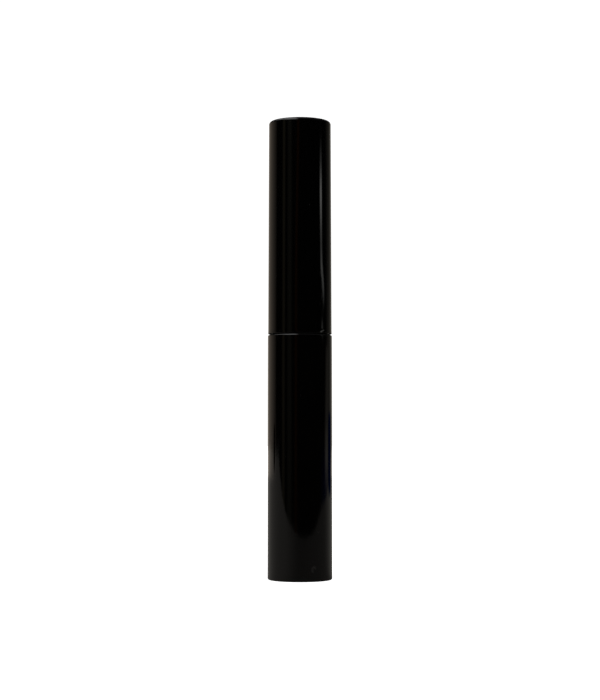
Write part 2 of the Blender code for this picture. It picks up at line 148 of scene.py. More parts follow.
# Wand
STEM_RADIUS = 0.00165
STEM_HEAD_RADIUS = 0.00235
STEM_HEAD_TOP_Z = top("stem")
STEM_FLANGE_RADIUS = reach("stem")
STEM_FLANGE_THICKNESS = 0.0006
STEM_TIP_Z = bottom("stem")
STEM_TIP_TAPER = 0.0020
STEM_TIP_EDGE = 0.0004
STEM_TIP_BORE_RADIUS = 0.00062
STEM_TIP_BORE_DEPTH = 0.0060
STRAND_RADIUS = 0.00025
TWIST_PITCH = 0.0030
WIRE_TIP_Z = bottom("brush_wire")
WIRE_TOP_Z = top("brush_wire")
BRISTLE_RADIUS = 0.0035
BRISTLE_TIP_RADIUS = 0.0017
BRISTLE_ROOT_RADIUS = 0.0026

# Clearances
SEAT_GAP = 0.00005
SIDE_GAP = 0.0001

# Fineness of the meshes: points round a turned piece, the distance from a corner to the point
# that holds its shading, the spacing of rows on a wall, and the angle of a sharp edge
FINE = 192
SLIM = 96
HOLD = 0.00005
ROW = 0.0025
THREAD_ROW = 0.0001
EASE_STEPS = 4
SHARP = math.radians(40)

SEED = 11


# ---------------------------------------------------------------- mesh tools


def arc(x, z, radius, start_deg, end_deg, steps):
    """Points of an arc about (x, z) in the profile plane, both ends included."""
    points = []
    for step in range(steps + 1):
        angle = math.radians(start_deg + (end_deg - start_deg) * step / steps)
        points.append((x + radius * math.cos(angle), z + radius * math.sin(angle)))
    return points


def eased(profile, closed, ease):
    """The same outline with each corner rounded over a length of ease along both its sides."""
    points = []
    count = len(profile)
    for i, corner in enumerate(profile):
        if not closed and i in (0, count - 1):
            points.append(corner)
            continue
        here = Vector(corner)
        before = Vector(profile[i - 1])
        after = Vector(profile[(i + 1) % count])
        start = here + (before - here) * min(0.45, ease / (before - here).length)
        end = here + (after - here) * min(0.45, ease / (after - here).length)
        for step in range(EASE_STEPS + 1):
            t = step / EASE_STEPS
            point = start * (1 - t) ** 2 + here * 2 * t * (1 - t) + end * t * t
            points.append((point.x, point.y))
    return points


def held(profile, closed=False):
    """Adds a point close to each corner and even points between, to keep shading off the flats."""
    following = profile[1:] + profile[:1] if closed else profile[1:]
    points = []
    for (r0, z0), (r1, z1) in zip(profile, following):
        points.append((r0, z0))
        length = math.hypot(r1 - r0, z1 - z0)
        if length > 4 * HOLD:
            rows = max(1, math.ceil((length - 2 * HOLD) / ROW))
            for row in range(rows + 1):
                share = (HOLD + (length - 2 * HOLD) * row / rows) / length
                points.append((r0 + (r1 - r0) * share, z0 + (z1 - z0) * share))
    if not closed:
        points.append(profile[-1])
    return points


def wall(radius, start_z, end_z, spacing):
    """Closely spaced points up or down a straight wall, for a thread to be raised on."""
    rows = round(abs(end_z - start_z) / spacing)
    return [(radius, start_z + (end_z - start_z) * row / rows) for row in range(rows + 1)]


def finish_mesh(name, bm):
    bmesh.ops.recalc_face_normals(bm, faces=bm.faces)
    mesh = bpy.data.meshes.new(name)
    bm.to_mesh(mesh)
    bm.free()
    mesh.shade_smooth()
    mesh.set_sharp_from_angle(angle=SHARP)
    piece = bpy.data.objects.new(name, mesh)
    bpy.context.scene.collection.objects.link(piece)
    return piece


def bridge(bm, upper, lower):
    """Faces between two rings, either of which may be a single point on the axis."""
    count = max(len(upper), len(lower))
    for i in range(count):
        j = (i + 1) % count
        if len(upper) == 1:
            bm.faces.new((upper[0], lower[i], lower[j]))
        elif len(lower) == 1:
            bm.faces.new((upper[i], lower[0], upper[j]))
        else:
            bm.faces.new((upper[i], lower[i], lower[j], upper[j]))


def turned(name, profile, closed=False, segments=FINE, shape=None):
    """Turns (radius, height) points about Z; shape(angle, radius, height) may move each point."""
    bm = bmesh.new()
    rings = []
    for radius, height in profile:
        if radius == 0.0:
            rings.append([bm.verts.new((0.0, 0.0, height))])
            continue
        ring = []
        for step in range(segments):
            angle = TAU * step / segments
            r, z = shape(angle, radius, height) if shape else (radius, height)
            ring.append(bm.verts.new((r * math.cos(angle), r * math.sin(angle), z)))
        rings.append(ring)
    for upper, lower in zip(rings, rings[1:]):
        bridge(bm, upper, lower)
    if closed:
        bridge(bm, rings[-1], rings[0])
    return finish_mesh(name, bm)


def smooth(share):
    share = max(0.0, min(1.0, share))
    return share * share * (3 - 2 * share)


def ridge_height(angle, z, start_z, start_turn, turns):
    """How far a helical ridge stands from its wall at a point, 0 beside it."""
    height = 0.0
    turn = (angle / TAU - RIDGE_PHASE_TURNS - start_turn) % 1.0
    while turn <= turns:
        off = abs(z - start_z - THREAD_PITCH * turn)
        flank = (RIDGE_ROOT_WIDTH / 2 - off) / ((RIDGE_ROOT_WIDTH - RIDGE_TIP_WIDTH) / 2)
        run_out = min(turn, turns - turn) / RUN_OUT_TURNS
        height = max(height, RIDGE_HEIGHT * smooth(flank) * smooth(run_out))
        turn += 1.0
    return height


# ---------------------------------------------------------------- material tools


class Nodes:
    """Adds nodes to a tree. An input is a value or the socket of another node."""

    def __init__(self, tree):
        self.tree = tree

    def node(self, kind, inputs=None, **settings):
        made = self.tree.nodes.new(kind)
        for name, value in settings.items():
            setattr(made, name, value)
        for socket, value in (inputs or {}).items():
            if isinstance(value, bpy.types.NodeSocket):
                self.tree.links.new(value, made.inputs[socket])
            else:
                made.inputs[socket].default_value = value
        return made

    def maths(self, operation, *values, **settings):
        inputs = dict(enumerate(values))
        return self.node("ShaderNodeMath", inputs, operation=operation, **settings).outputs[0]

    def parts(self, vector):
        """The X, Y and Z of a vector, as sockets."""
        return self.node("ShaderNodeSeparateXYZ", {0: vector}).outputs

    def hump(self, value):
        """4v(1 - v): nothing at 0 and 1 and full in the middle."""
        return self.maths("MULTIPLY", value, self.maths("MULTIPLY_ADD", value, -4.0, 4.0))

    def ramp(self, value, stops, low, high):
        """A level read from (position, level) stops between low and high, eased between stops."""
        share = self.node("ShaderNodeMapRange", {0: value, 1: low, 2: high}).outputs[0]
        made = self.node("ShaderNodeValToRGB", {0: share})
        made.color_ramp.interpolation = "EASE"
        elements = made.color_ramp.elements
        elements.remove(elements[-1])
        for number, (position, level) in enumerate(stops):
            at = (position - low) / (high - low)
            element = elements.new(at) if number else elements[0]
            element.position = at
            element.color = (level, level, level, 1.0)
        return made.outputs[0]


class Finish(Nodes):
    """A node material being built. Its textures read object coordinates, which are metres."""

    def __init__(self, name, constants):
        self.material = bpy.data.materials.new(name)
        self.material.use_nodes = True
        super().__init__(self.material.node_tree)
        self.shader = self.tree.nodes["Principled BSDF"]
        for socket, value in constants.items():
            self.shader.inputs[socket].default_value = value
        self.place = self.node("ShaderNodeTexCoord").outputs["Object"]
        self.normal = None

    def stretched(self, scale, turn=(0.0, 0.0, 0.0)):
        inputs = {"Vector": self.place, "Scale": scale, "Rotation": turn}
        return self.node("ShaderNodeMapping", inputs).outputs["Vector"]

    def noise(self, scale, detail=2.0, vector=None):
        inputs = {"Vector": vector or self.place, "Scale": scale, "Detail": detail}
        return self.node("ShaderNodeTexNoise", inputs).outputs["Fac"]

    def cells(self, scale):
        return self.node("ShaderNodeTexVoronoi", {"Vector": self.place, "Scale": scale})

    def remap(self, value, low, high, to_low=0.0, to_high=1.0):
        made = self.node(
            "ShaderNodeMapRange",
            {"Value": value, 1: low, 2: high, 3: to_low, 4: to_high},
            interpolation_type="SMOOTHSTEP",
        )
        return made.outputs["Result"]

    def blend(self, share, below, above):
        """Colour below where share is 0 and above where it is 1."""
        made = self.node("ShaderNodeMix", {0: share}, data_type="RGBA")
        for socket, colour in ((6, below), (7, above)):
            if isinstance(colour, bpy.types.NodeSocket):
                self.tree.links.new(colour, made.inputs[socket])
            else:
                made.inputs[socket].default_value = (*colour, 1.0)
        return made.outputs[2]

    def axis(self, letter):
        return self.parts(self.place)[letter]

    def from_axis(self):
        """Distance from the Z axis."""
        x, y = self.axis("X"), self.axis("Y")
        square = self.maths("ADD", self.maths("MULTIPLY", x, x), self.maths("MULTIPLY", y, y))
        return self.maths("SQRT", square)

    def lines(self, scale, long_axis_scale, turn, width):
        """Sparse hairlines, long in one direction."""
        vector = self.stretched((1.0, 1.0, long_axis_scale), turn)
        away = self.maths("ABSOLUTE", self.maths("SUBTRACT", self.noise(scale, 1.0, vector), 0.5))
        return self.remap(away, 0.0, width, 1.0, 0.0)

    def specks(self, scale, radius, kept):
        """Round specks of about this radius, in a share of the cells of a 3-D grid."""
        grid = self.cells(scale)
        near = self.remap(grid.outputs["Distance"], 0.4 * radius * scale, radius * scale, 1.0, 0.0)
        draw = self.node("ShaderNodeSeparateColor", {0: grid.outputs["Color"]}).outputs[0]
        return self.maths("MULTIPLY", near, self.maths("LESS_THAN", draw, kept))

    def raise_by(self, height, distance):
        """Bump of this depth in metres, on top of any earlier one."""
        inputs = {"Height": height, "Distance": distance, "Strength": 1.0}
        if self.normal:
            inputs["Normal"] = self.normal
        self.normal = self.node("ShaderNodeBump", inputs).outputs["Normal"]

    def done(self, colour, roughness):
        self.tree.links.new(colour, self.shader.inputs["Base Color"])
        self.tree.links.new(roughness, self.shader.inputs["Roughness"])
        if self.normal:
            self.tree.links.new(self.normal, self.shader.inputs["Normal"])
        return self.material


# ---------------------------------------------------------------- materials


def gloss_black(name, turn, matt_from, matt_to, extra_marks=None):
    """High-gloss black moulding: faint orange peel, hairline scratches and a little dust.

    The parting face between its two matt heights is left as it comes from the mould.
    """
    finish = Finish(name, {"IOR": 1.5})
    peel = finish.noise(650.0, 2.0)
    sink = finish.noise(120.0, 1.0)
    finish.raise_by(peel, 0.0000025)
    finish.raise_by(sink, 0.0000060)
    long_lines = finish.lines(900.0, 0.05, (0.0, 0.0, turn), 0.010)
    cross_lines = finish.lines(700.0, 0.06, (1.15, 0.35, turn), 0.008)
    patches = finish.remap(finish.noise(160.0, 2.0), 0.48, 0.70)
    scratches = finish.maths("MULTIPLY", finish.maths("MAXIMUM", long_lines, cross_lines), patches)
    dust = finish.specks(330.0, 0.00011, 0.75)
    lint = finish.specks(160.0, 0.00016, 0.5)
    marks = finish.maths("MAXIMUM", dust, lint)
    if extra_marks:
        marks = finish.maths("MAXIMUM", marks, extra_marks(finish))
    deep, milky = (0.00015, 0.00015, 0.0002), (0.0005, 0.00045, 0.0004)
    clouded = finish.blend(finish.noise(95.0, 3.0), deep, milky)
    colour = finish.blend(marks, clouded, (0.024, 0.023, 0.021))
    film = finish.remap(finish.noise(210.0, 4.0), 0.30, 0.75, 0.045, 0.075)
    worn = finish.maths("MULTIPLY_ADD", scratches, 0.10, film)
    polished = finish.maths("MULTIPLY_ADD", marks, 0.35, worn)
    height = finish.axis("Z")
    above = finish.maths("GREATER_THAN", height, matt_from)
    matt = finish.maths("MULTIPLY", above, finish.maths("LESS_THAN", height, matt_to))
    rough = finish.maths("MULTIPLY_ADD", matt, 0.85, polished)
    return finish.done(colour, rough)


def scuff(finish):
    """A small crescent-shaped rub low on the bottle's front."""
    centre_x, centre_z, ring, half_width = 0.00360, 0.0031, 0.00050, 0.00034
    squash, opening = 0.8, 0.0004
    across = finish.maths("SUBTRACT", finish.axis("X"), centre_x)
    up = finish.maths("MULTIPLY", finish.maths("SUBTRACT", finish.axis("Z"), centre_z), squash)
    square = finish.maths("MULTIPLY_ADD", across, across, finish.maths("MULTIPLY", up, up))
    away = finish.maths("SQRT", square)
    off_ring = finish.maths("ABSOLUTE", finish.maths("SUBTRACT", away, ring))
    band = finish.remap(off_ring, 0.0, half_width, 1.0, 0.0)
    open_side = finish.remap(finish.maths("SUBTRACT", across, up), 0.0, opening, 1.0, 0.0)
    front = finish.maths("LESS_THAN", finish.axis("Y"), 0.0)
    broken = finish.remap(finish.noise(3000.0, 2.0), 0.30, 0.60, 0.14, 0.30)
    mark = finish.maths("MULTIPLY", finish.maths("MULTIPLY", band, open_side), front)
    return finish.maths("MULTIPLY", mark, broken)


def natural_plastic(name, stained_from, stained_to):
    """Uncoloured polypropylene or polyethylene, stained by formula towards its second height."""
    finish = Finish(
        name,
        {
            "IOR": 1.49,
            "Subsurface Weight": 0.35,
            "Subsurface Scale": 0.0009,
            "Subsurface Radius": (1.0, 1.0, 0.9),
        },
    )
    finish.raise_by(finish.noise(2600.0, 3.0), 0.000006)
    milky = finish.blend(finish.noise(260.0, 3.0), (0.70, 0.70, 0.66), (0.80, 0.80, 0.77))
    wobble = finish.maths("MULTIPLY_ADD", finish.noise(900.0, 4.0), 0.0022, -0.0011)
    height = finish.maths("ADD", finish.axis("Z"), wobble)
    stain = finish.remap(height, stained_from, stained_to)
    colour = finish.blend(stain, milky, (0.012, 0.011, 0.011))
    rough = finish.remap(finish.noise(1500.0, 2.0), 0.3, 0.7, 0.34, 0.50)
    wet = finish.maths("MULTIPLY_ADD", stain, -0.15, rough)
    return finish.done(colour, wet)


def wet_formula(name):
    """Thick black paste with a wet skin."""
    finish = Finish(name, {"IOR": 1.45})
    finish.raise_by(finish.noise(1400.0, 4.0), 0.00008)
    colour = finish.blend(finish.noise(500.0, 2.0), (0.002, 0.002, 0.002), (0.006, 0.005, 0.005))
    rough = finish.remap(finish.noise(800.0, 3.0), 0.3, 0.7, 0.12, 0.40)
    return finish.done(colour, rough)


def label_paper(name):
    """Blank coated paper with a visible fibre."""
    finish = Finish(name, {"IOR": 1.5})
    fibre = finish.noise(5200.0, 5.0, finish.stretched((1.0, 0.35, 1.0)))
    finish.raise_by(fibre, 0.00001)
    body = finish.blend(fibre, (0.66, 0.65, 0.62), (0.80, 0.80, 0.78))
    edge = finish.remap(finish.from_axis(), 0.0057, 0.0060)
    colour = finish.blend(edge, body, (0.50, 0.48, 0.44))
    rough = finish.remap(finish.noise(1800.0, 2.0), 0.3, 0.7, 0.45, 0.65)
    return finish.done(colour, rough)


def foam(name):
    """Closed-cell polyethylene foam, with the ring that the wiper's flange has pressed in it."""
    finish = Finish(name, {"IOR": 1.5, "Subsurface Weight": 0.3, "Subsurface Scale": 0.0006})
    cell = finish.cells(6500.0).outputs["Distance"]
    finish.raise_by(cell, 0.00003)
    body = finish.blend(cell, (0.86, 0.86, 0.83), (0.70, 0.70, 0.67))
    in_ring = finish.remap(finish.from_axis(), 0.0046, 0.0050, 1.0, 0.0)
    grey = finish.maths("MULTIPLY", in_ring, finish.remap(finish.noise(900.0, 4.0), 0.45, 0.65))
    colour = finish.blend(grey, body, (0.20, 0.19, 0.19))
    rough = finish.remap(cell, 0.0, 0.6, 0.62, 0.82)
    return finish.done(colour, rough)


def turned_steel(name):
    """Lathe-turned steel: fine rings from the tool and a little oil bloom."""
    finish = Finish(name, {"Metallic": 1.0, "Anisotropic": 0.55, "IOR": 2.5})
    rings = finish.maths("SINE", finish.maths("MULTIPLY", finish.from_axis(), 62000.0))
    rows = finish.maths("SINE", finish.maths("MULTIPLY", finish.axis("Z"), 48000.0))
    tool_marks = finish.maths("ADD", rings, rows)
    finish.raise_by(tool_marks, 0.0000022)
    colour = finish.blend(finish.noise(280.0, 4.0), (0.46, 0.46, 0.45), (0.62, 0.61, 0.59))
    rough = finish.remap(finish.noise(700.0, 3.0), 0.3, 0.7, 0.24, 0.36)
    return finish.done(colour, rough)


def satin_black(name):
    """Black moulded rod with lengthwise flow lines and drying streaks of formula."""
    finish = Finish(name, {"IOR": 1.5})
    flow = finish.noise(2400.0, 3.0, finish.stretched((1.0, 1.0, 0.04)))
    finish.raise_by(flow, 0.000005)
    streaks = finish.noise(900.0, 5.0, finish.stretched((1.0, 1.0, 0.15)))
    low_down = finish.remap(finish.axis("Z"), STEM_TIP_Z, CEILING_Z, 0.62, 0.40)
    film = finish.remap(finish.maths("SUBTRACT", streaks, low_down), -0.22, 0.0, 1.0, 0.0)
    finish.raise_by(film, 0.00003)
    colour = finish.blend(film, (0.0075, 0.0075, 0.0080), (0.0022, 0.0020, 0.0020))
    rough = finish.remap(flow, 0.3, 0.7, 0.24, 0.34)
    wet = finish.maths("MULTIPLY_ADD", film, -0.12, rough)
    return finish.done(colour, wet)


def drawn_steel(name):
    """Drawn stainless wire, darkened by formula in patches."""
    finish = Finish(name, {"Metallic": 1.0, "IOR": 2.5})
    finish.raise_by(finish.noise(9000.0, 2.0), 0.000003)
    bright = finish.blend(finish.noise(3000.0, 3.0), (0.50, 0.50, 0.48), (0.68, 0.67, 0.65))
    wetted = finish.remap(finish.noise(1500.0, 4.0), 0.46, 0.60)
    colour = finish.blend(wetted, bright, (0.020, 0.019, 0.019))
    rough = finish.remap(finish.noise(5000.0, 2.0), 0.3, 0.7, 0.20, 0.34)
    return finish.done(colour, rough)


def nylon_fibre(name):
    """Black nylon bristle, partly coated with formula."""
    finish = Finish(name, {"IOR": 1.53})
    finish.raise_by(finish.noise(12000.0, 2.0), 0.000004)
    coat = finish.remap(finish.noise(850.0, 4.0), 0.42, 0.62)
    colour = finish.blend(coat, (0.012, 0.012, 0.013), (0.0030, 0.0028, 0.0028))
    rough = finish.remap(finish.noise(4200.0, 2.0), 0.3, 0.7, 0.30, 0.46)
    wet = finish.maths("MULTIPLY_ADD", coat, -0.14, rough)
    return finish.done(colour, wet)


# ---------------------------------------------------------------- pieces


def bottle_shell():
    groove = SNAP_GROOVE_DEPTH
    turn = CAVITY_RADIUS - CAVITY_FLOOR_FILLET
    recess_edge = BASE_RECESS_RADIUS - 0.5 * BASE_RECESS_DEPTH
    inside = [(0.0, CAVITY_FLOOR_Z)]
    inside += arc(turn, CAVITY_FLOOR_Z + CAVITY_FLOOR_FILLET, CAVITY_FLOOR_FILLET, -90, 0, 10)
    inside += arc(BORE_RADIUS, CAVITY_SHOULDER_Z, CAVITY_RADIUS - BORE_RADIUS, 0, 90, 12)
    inside += [
        (BORE_RADIUS, SNAP_GROOVE_Z - 1.5 * groove),
        (BORE_RADIUS + groove, SNAP_GROOVE_Z - 0.5 * groove),
        (BORE_RADIUS + groove, SNAP_GROOVE_Z + 0.5 * groove),
        (BORE_RADIUS, SNAP_GROOVE_Z + 1.5 * groove),
        (BORE_RADIUS, LIP_Z),
    ]
    inside += arc(NECK_RADIUS - LIP_FILLET, LIP_Z - LIP_FILLET, LIP_FILLET, 90, 0, 8)
    neck = wall(NECK_RADIUS, LIP_Z - LIP_FILLET - HOLD, COLLAR_TOP_Z + HOLD, THREAD_ROW)
    outside = [(NECK_RADIUS, COLLAR_TOP_Z)]
    outside += arc(COLLAR_RADIUS - LIP_FILLET, COLLAR_TOP_Z - LIP_FILLET, LIP_FILLET, 90, 0, 8)
    outside += [(COLLAR_RADIUS, SHOULDER_Z)]
    shoulder = SHOULDER_RADIUS - SHOULDER_FILLET
    outside += arc(shoulder, SHOULDER_Z - SHOULDER_FILLET, SHOULDER_FILLET, 90, 0, 12)
    outside += arc(BASE_RADIUS - BASE_FILLET, BASE_FILLET, BASE_FILLET, 0, -90, 14)
    outside += [
        (BASE_RECESS_RADIUS, 0.0),
        (recess_edge, BASE_RECESS_DEPTH),
        (0.0, BASE_RECESS_DEPTH),
    ]

    def thread(angle, radius, z):
        if radius == NECK_RADIUS and z > COLLAR_TOP_Z:
            radius += ridge_height(angle, z, NECK_START_Z, 0.0, NECK_TURNS)
        return radius, z

    profile = held(inside) + neck + held(outside)
    return turned("bottle_shell", profile, shape=thread)


def cap_shell():
    profile = [(0.0, TOP_Z)]
    shoulder = CAP_TOP_RADIUS - CAP_TOP_FILLET
    profile += arc(shoulder, TOP_Z - CAP_TOP_FILLET, CAP_TOP_FILLET, 90, 0, 14)
    flare_steps = 8
    for step in range(flare_steps):
        share = step / flare_steps
        radius = CAP_WALL_RADIUS + (CAP_RIM_RADIUS - CAP_WALL_RADIUS) * share * share
        profile.append((radius, CAP_RIM_Z + CAP_FLARE_HEIGHT * (1 - share)))
    rim = CAP_RIM_RADIUS - CAP_RIM_FILLET
    profile += arc(rim, CAP_RIM_Z + CAP_RIM_FILLET, CAP_RIM_FILLET, 0, -90, 8)
    profile += [
        (OVERCAP_BORE_RIM_RADIUS + OVERCAP_RIM_LEAD, CAP_RIM_Z),
        (OVERCAP_BORE_RIM_RADIUS, CAP_RIM_Z + 2 * OVERCAP_RIM_LEAD),
        (OVERCAP_BORE_TOP_RADIUS, OVERCAP_CEILING_Z - OVERCAP_CEILING_CHAMFER),
        (OVERCAP_BORE_TOP_RADIUS - OVERCAP_CEILING_CHAMFER, OVERCAP_CEILING_Z),
        (0.0, OVERCAP_CEILING_Z),
    ]
    return turned("cap_shell", held(profile))


def wiper_funnel():
    """Flange on the lip, barrel with its snap bead, and the cone down to the thin orifice edge."""
    flange_radius = reach("wiper")
    flange_top = top("wiper")
    barrel = BORE_RADIUS - SIDE_GAP
    bead = barrel + SNAP_GROOVE_DEPTH - 2 * SEAT_GAP
    bead_foot, barrel_foot = 0.0004, 0.0009
    inside, cone_top_z, mouth_edge = 0.0033, 0.0663, 0.0003
    orifice, orifice_z, orifice_top_z = 0.0018, bottom("wiper"), 0.0625
    lip_radius, shoulder_radius, shoulder_z = 0.00220, 0.00245, 0.0623
    profile = [
        (flange_radius, flange_top),
        (flange_radius, LIP_Z + SEAT_GAP),
        (barrel, LIP_Z + SEAT_GAP),
        (barrel, SNAP_GROOVE_Z + bead_foot),
        (bead, SNAP_GROOVE_Z + SEAT_GAP),
        (bead, SNAP_GROOVE_Z - SEAT_GAP),
        (barrel, SNAP_GROOVE_Z - bead_foot),
        (barrel, SNAP_GROOVE_Z - barrel_foot),
        (shoulder_radius, shoulder_z),
        (lip_radius, orifice_z),
        (orifice, orifice_z),
        (orifice, orifice_top_z),
        (inside, cone_top_z),
        (inside, flange_top - mouth_edge),
        (inside + mouth_edge, flange_top),
    ]
    return turned("wiper_funnel", held(eased(profile, True, 0.00012), True), True)


def formula_fill():
    """The paste, with a torn and uneven surface round the channel that the brush leaves."""
    channel = BRISTLE_RADIUS + CHANNEL_CLEARANCE
    channel_floor = WIRE_TIP_Z - CHANNEL_FLOOR_CLEARANCE
    fill = FORMULA_TOP_Z
    radius = CAVITY_RADIUS - SIDE_GAP
    floor = bottom("mascara_bulk")
    fillet = CAVITY_FLOOR_FILLET
    foot, lip = CHANNEL_FOOT_EDGE, CHANNEL_LIP_EDGE
    ragged, sunk = 0.00022, 0.0009
    profile = [(0.0, channel_floor), (channel - foot, channel_floor)]
    profile += wall(channel, channel_floor + foot, fill - lip, lip)
    profile += [(channel + out, fill) for out in (lip, 0.0011, 0.0018)]
    profile += [(radius - FORMULA_CLIMB, fill), (radius, fill + FORMULA_CLIMB)]
    profile += arc(radius - fillet, floor + fillet, fillet, 0, -90, 10)
    profile += [(0.0, floor)]

    def torn(angle, r, z):
        around = Vector((math.cos(angle), math.sin(angle), 0.0)) * 3.0
        lump = noise.noise(around + Vector((0.0, 0.0, z * 900.0)))
        if abs(r - channel) < 0.00001:
            r += ragged * (0.5 + lump)
        elif channel < r < radius and z > fill - 0.0001:
            z -= sunk * (0.5 + 0.5 * noise.noise(around + Vector((r * 1500.0, 0.0, 0.0))))
        return r, z

    return turned("formula_fill", profile, shape=torn)


def shade_label():
    """Blank paper disc, pressed a little into its glue."""
    low, high = bottom("base_label"), top("base_label")
    radius = reach("base_label")
    thickness = high - low
    rings = (0.3, 0.6, 0.85, 0.97)
    cockle = 0.000012
    profile = [(0.0, high)]
    profile += [(radius * share, high) for share in rings]
    profile += arc(radius - thickness / 2, (low + high) / 2, thickness / 2, 90, -90, 6)
    profile += [(radius * share, low) for share in reversed(rings)]
    profile += [(0.0, low)]

    def cockled(angle, r, z):
        wave = noise.noise(Vector((math.cos(angle) * r, math.sin(angle) * r, 0.0)) * 420.0)
        return r, z + cockle * wave

    return turned("shade_label", profile, shape=cockled)


def seal_washer():
    """Foam washer, dented on its underside where the wiper's flange presses."""
    outer, inner = reach("cap_liner"), 0.0024
    low, high = bottom("cap_liner"), top("cap_liner")
    flange = reach("wiper")
    dent, coarse = 0.00006, 0.00001
    profile = [
        (outer, high),
        (outer, low),
        (flange + 0.0002, low),
        (flange, low + dent),
        (0.0035, low + dent),
        (0.0033, low),
        (inner, low),
        (inner, high),
    ]

    def uneven(angle, r, z):
        spot = Vector((math.cos(angle) * r, math.sin(angle) * r, z)) * 2600.0
        return r - coarse * (1 + noise.noise(spot)), z

    return turned("seal_washer", held(eased(profile, True, 0.0001), True), True, shape=uneven)


def steel_slug():
    """Turned weight: chamfered ends, a relief groove and the lathe's centre dimples."""
    radius, edge = reach("cap_weight"), 0.0004
    dimple_radius, dimple_depth = 0.0007, 0.0005
    relief_depth, relief_floor, relief_mouth = 0.0002, 0.0003, 0.0005
    low, high = bottom("cap_weight"), top("cap_weight")
    middle = (low + high) / 2
    profile = [
        (0.0, high - dimple_depth),
        (dimple_radius, high),
        (radius - edge, high),
        (radius, high - edge),
        (radius, middle + relief_mouth),
        (radius - relief_depth, middle + relief_floor),
        (radius - relief_depth, middle - relief_floor),
        (radius, middle - relief_mouth),
        (radius, low + edge),
        (radius - edge, low),
        (dimple_radius, low),
        (0.0, low + dimple_depth),
    ]
    return turned("steel_slug", held(eased(profile, False, 0.00006)))


def inner_cap_moulding():
    """Threaded skirt, ceiling with the stem's socket, and a ribbed tube that fills the overcap."""
    edge = 0.0002
    inside = INNER_CAP_RADIUS - INNER_CAP_WALL
    floor = CEILING_Z + CEILING_THICKNESS
    recess_radius = STEM_FLANGE_RADIUS + SIDE_GAP
    recess_z = CEILING_Z + STEM_FLANGE_THICKNESS + 2 * SEAT_GAP
    groove = SOCKET_GROOVE_DEPTH
    rib_low = INNER_CAP_RIM_Z + RIB_FOOT
    rib_high = INNER_CAP_TOP_Z - RIB_HEAD
    thread_low = INNER_CAP_RIM_Z + 3 * edge
    thread_high = LINER_BEAD_Z - LINER_BEAD_FOOT
    outside = [(inside, INNER_CAP_TOP_Z)]
    outside += arc(INNER_CAP_RADIUS - edge, INNER_CAP_TOP_Z - edge, edge, 90, 0, 5)
    outside += [(INNER_CAP_RADIUS, rib_high + HOLD), (INNER_CAP_RADIUS, rib_high)]
    outside += [(INNER_CAP_RADIUS, rib_low), (INNER_CAP_RADIUS, rib_low - HOLD)]
    outside += arc(INNER_CAP_RADIUS - edge, INNER_CAP_RIM_Z + edge, edge, 0, -90, 5)
    outside += [(THREAD_BORE_RADIUS + 2 * edge, INNER_CAP_RIM_Z)]
    bore = wall(THREAD_BORE_RADIUS, thread_low, thread_high, THREAD_ROW)
    within = [
        (LINER_BEAD_RADIUS, LINER_BEAD_Z - LINER_BEAD_CREST),
        (LINER_BEAD_RADIUS, LINER_BEAD_Z + LINER_BEAD_CREST),
        (THREAD_BORE_RADIUS, LINER_BEAD_Z + LINER_BEAD_FOOT),
        (THREAD_BORE_RADIUS, CEILING_Z),
        (recess_radius, CEILING_Z),
        (recess_radius, recess_z),
        (SOCKET_RADIUS, recess_z),
        (SOCKET_RADIUS, SOCKET_GROOVE_Z - 2 * groove),
        (SOCKET_RADIUS + groove, SOCKET_GROOVE_Z - groove),
        (SOCKET_RADIUS + groove, SOCKET_GROOVE_Z + groove),
        (SOCKET_RADIUS, SOCKET_GROOVE_Z + 2 * groove),
        (SOCKET_RADIUS, SOCKET_TOP_Z),
        (SOCKET_RADIUS + SOCKET_WALL, SOCKET_TOP_Z),
        (SOCKET_RADIUS + SOCKET_WALL, floor),
        (inside, floor),
    ]

    def ribbed_and_threaded(angle, r, z):
        if r == THREAD_BORE_RADIUS and thread_low < z < thread_high:
            start = NECK_START_Z - THREAD_PITCH / 2 + THREAD_PITCH * CAP_LEAD
            r -= ridge_height(angle, z, start, CAP_LEAD, CAP_TURNS)
        elif r == INNER_CAP_RADIUS and rib_low <= z <= rib_high:
            spacing = TAU / RIB_COUNT
            off = abs((angle + spacing / 2) % spacing - spacing / 2) * INNER_CAP_RADIUS
            r += (RIB_RADIUS - r) * smooth((0.6 * RIB_WIDTH - off) / (0.2 * RIB_WIDTH))
        return r, z

    profile = held(outside) + bore + held(eased(within, False, 0.00008))
    return turned("inner_cap_moulding", profile, True, 2 * FINE, ribbed_and_threaded)


